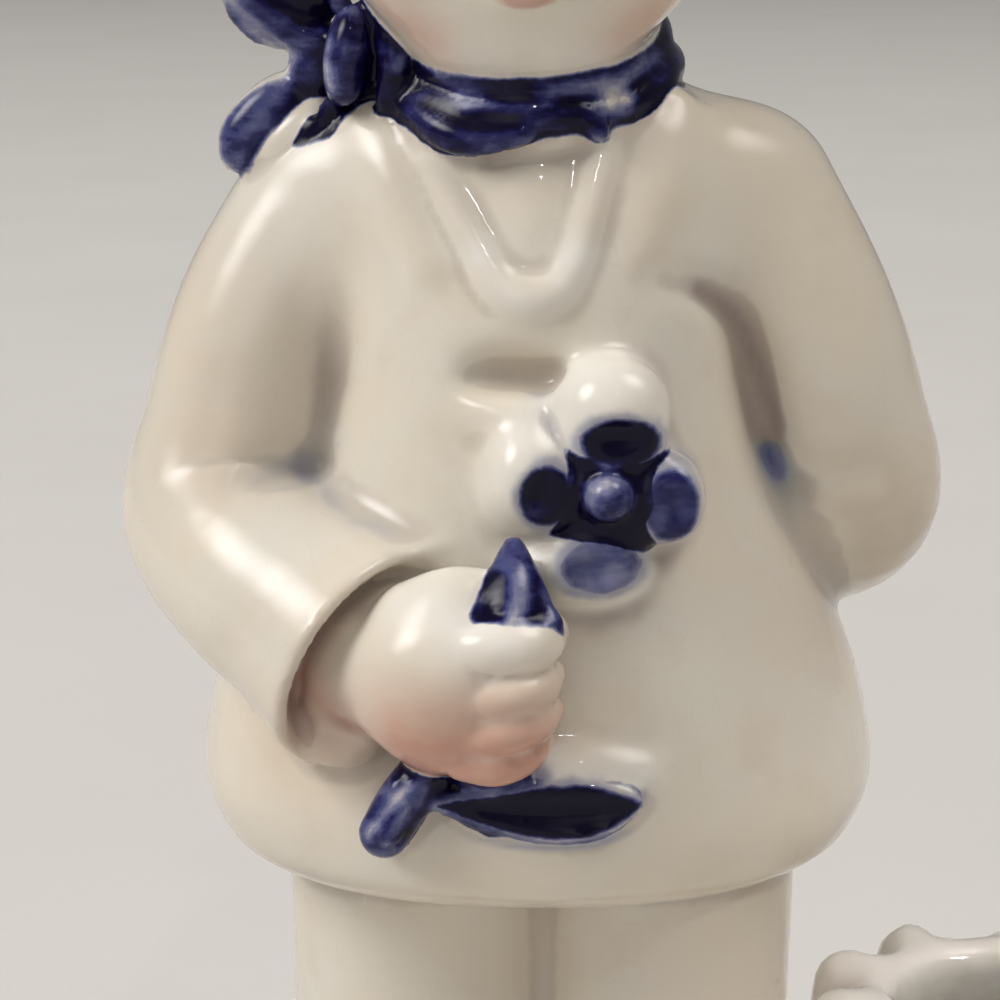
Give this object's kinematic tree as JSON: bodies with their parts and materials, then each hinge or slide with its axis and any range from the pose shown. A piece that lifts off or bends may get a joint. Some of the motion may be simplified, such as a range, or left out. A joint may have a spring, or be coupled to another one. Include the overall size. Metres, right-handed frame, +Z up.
{
  "type": "figural candleholder",
  "caption": "Glazed earthenware candleholder: a standing child in smock, scarf and trousers holds a flower stem, with a petalled cup for a taper candle on the same low plinth.",
  "frame": {"origin": "on the flat underside of the plinth, straight below the middle of the child's body", "axes": "+Z up, the child looks along -Y, the candle cup stands on the +X side"},
  "size_m": [0.1081, 0.0695, 0.1742],
  "materials": {
    "glaze": "glossy crazed cream glaze with cobalt blue underglaze painting"
  },
  "bodies": {
    "root": {"candleholder": "glaze"}
  },
  "joints": []
}
